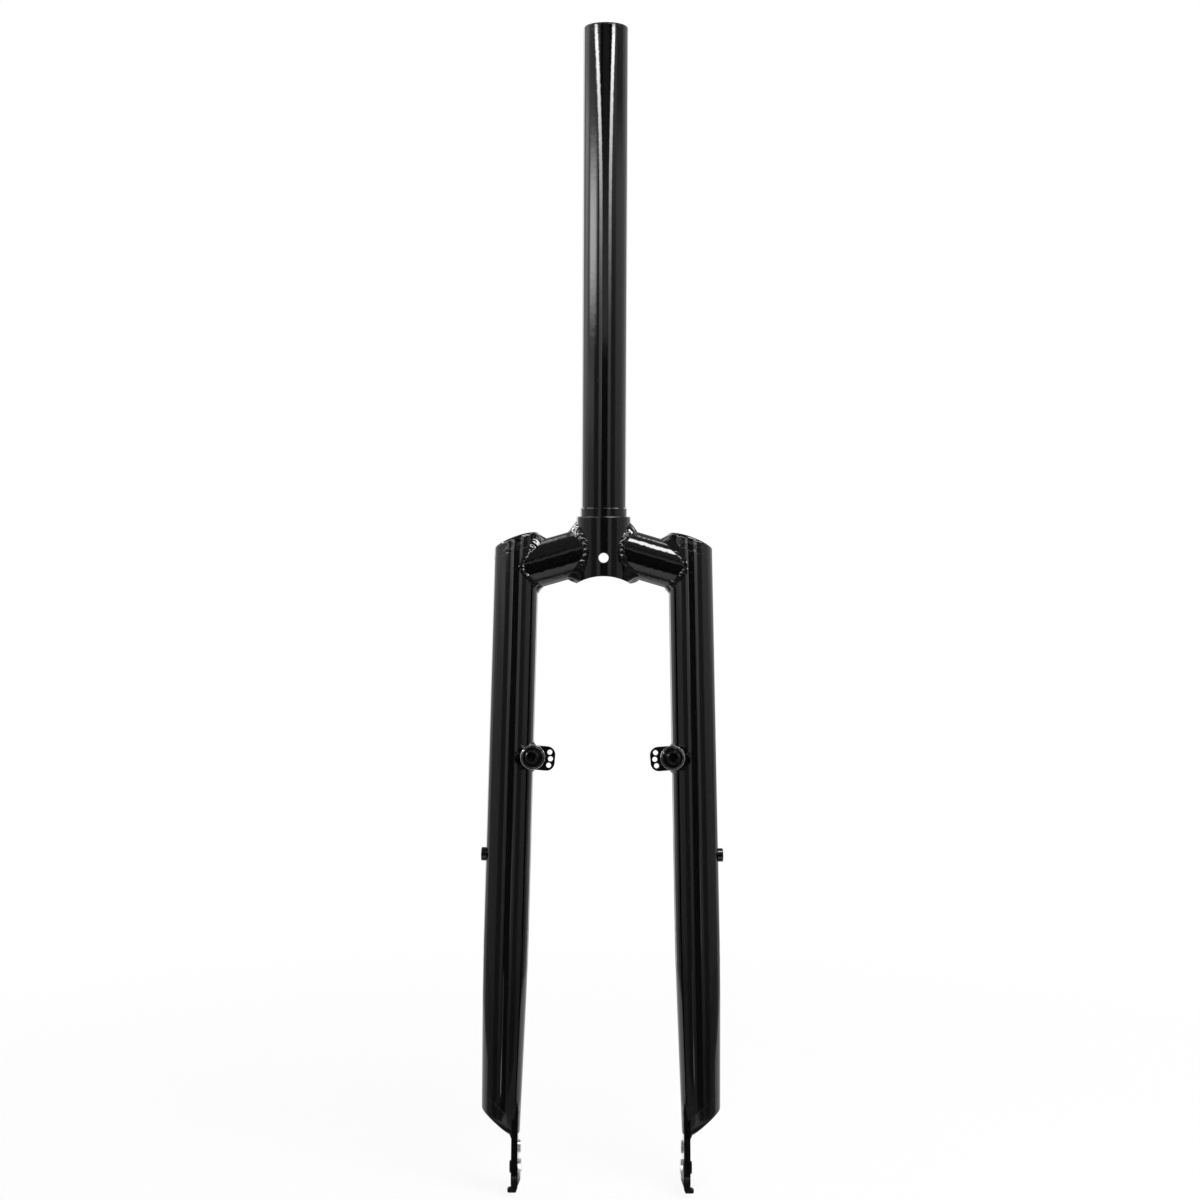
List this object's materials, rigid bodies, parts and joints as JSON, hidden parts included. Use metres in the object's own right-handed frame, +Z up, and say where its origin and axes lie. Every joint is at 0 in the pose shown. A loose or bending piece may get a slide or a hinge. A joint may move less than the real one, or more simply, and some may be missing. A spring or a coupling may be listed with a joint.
{
  "type": "mountain bike fork",
  "caption": "Rigid steel mountain bike fork with a straight steerer, welded crown, round raked legs, rim brake posts and slotted plate dropouts.",
  "frame": {"origin": "on the steerer axis, at the shoulder that the crown race sits on", "axes": "+Z up along the steerer, -Y forward, +X to the rider's left"},
  "size_m": [0.1538, 0.073, 0.7358],
  "materials": {
    "tube_paint": "gloss black paint on steel tube",
    "weld_paint": "gloss black paint over weld beads",
    "fitting_paint": "gloss black paint on machined fittings"
  },
  "bodies": {
    "root": {"crown_sleeve": "tube_paint", "left_arm_weld": "weld_paint", "left_boss_weld": "weld_paint", "left_brake_boss": "fitting_paint", "left_brake_stud": "fitting_paint", "left_crown_arm": "tube_paint", "left_dropout": "fitting_paint", "left_dropout_weld": "weld_paint", "left_leg": "tube_paint", "left_leg_bottom_cap": "tube_paint", "left_leg_top_cap": "tube_paint", "left_rack_boss": "fitting_paint", "left_sleeve_weld": "weld_paint", "right_arm_weld": "weld_paint", "right_boss_weld": "weld_paint", "right_brake_boss": "fitting_paint", "right_brake_stud": "fitting_paint", "right_crown_arm": "tube_paint", "right_dropout": "fitting_paint", "right_dropout_weld": "weld_paint", "right_leg": "tube_paint", "right_leg_bottom_cap": "tube_paint", "right_leg_top_cap": "tube_paint", "right_rack_boss": "fitting_paint", "right_sleeve_weld": "weld_paint", "steerer_tube": "tube_paint"}
  },
  "joints": []
}
